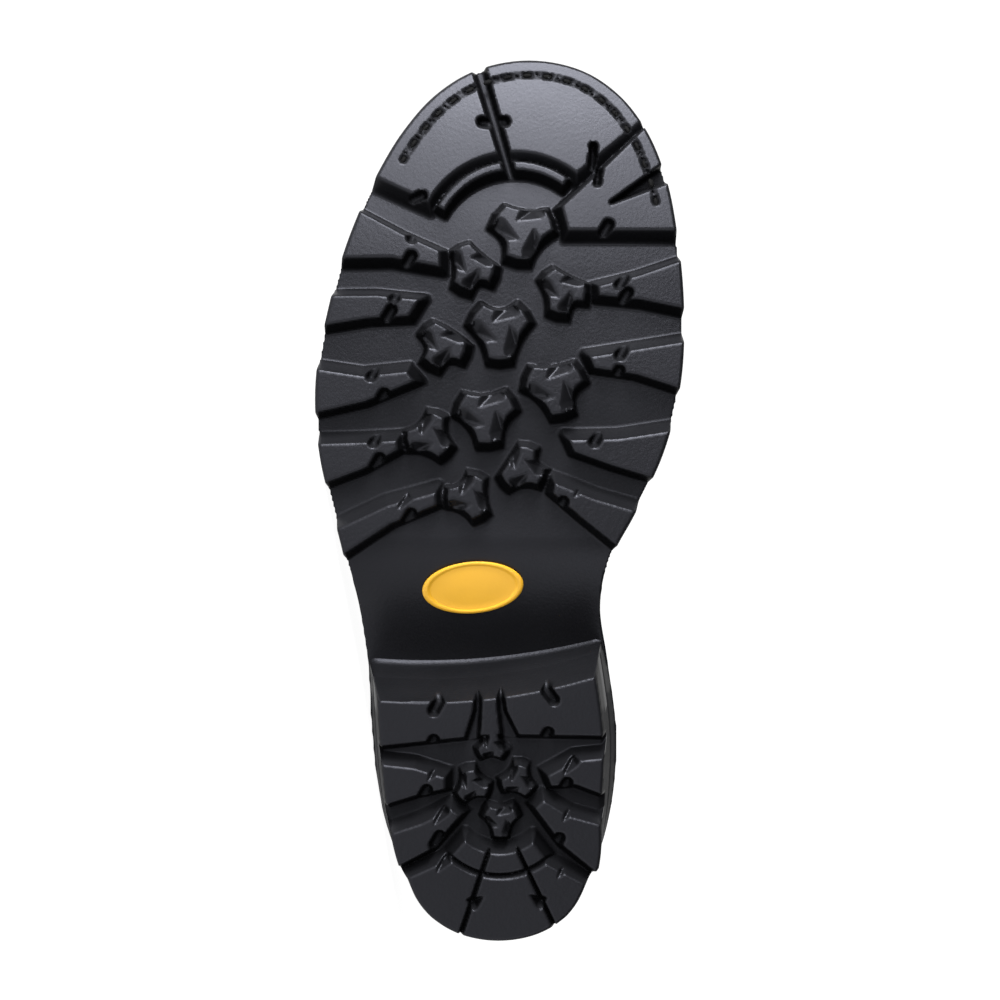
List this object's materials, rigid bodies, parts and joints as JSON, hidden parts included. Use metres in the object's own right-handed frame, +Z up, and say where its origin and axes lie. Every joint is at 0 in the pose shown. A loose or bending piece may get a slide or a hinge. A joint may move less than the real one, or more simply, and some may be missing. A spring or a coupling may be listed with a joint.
{
  "type": "insulated pull-on boot",
  "caption": "Black insulated pull-on work boot for the right foot, lying on its outer side, with a deeply lugged rubber sole and a separate slanted heel.",
  "frame": {"origin": "middle of the underside of the boot's box, on the floor that it lies on", "axes": "+X from toe to heel, +Y from the tread up the shaft, +Z up from the floor"},
  "size_m": [0.2936, 0.2672, 0.1304],
  "materials": {
    "sole_rubber": "satin moulded rubber",
    "heel_rubber": "satin moulded rubber",
    "welt_leather": "dressed leather edge",
    "upper_leather": "oiled full-grain leather",
    "footbed": "felt",
    "webbing": "woven webbing",
    "plug_rubber": "satin moulded rubber"
  },
  "bodies": {
    "root": {"outsole": "sole_rubber", "heel": "heel_rubber", "heel_base": "heel_rubber", "midsole": "sole_rubber", "welt": "welt_leather", "insole": "footbed", "upper": "upper_leather", "counter": "upper_leather", "collar_band": "upper_leather", "pull_loop": "webbing", "waist_plug": "plug_rubber"}
  },
  "joints": []
}
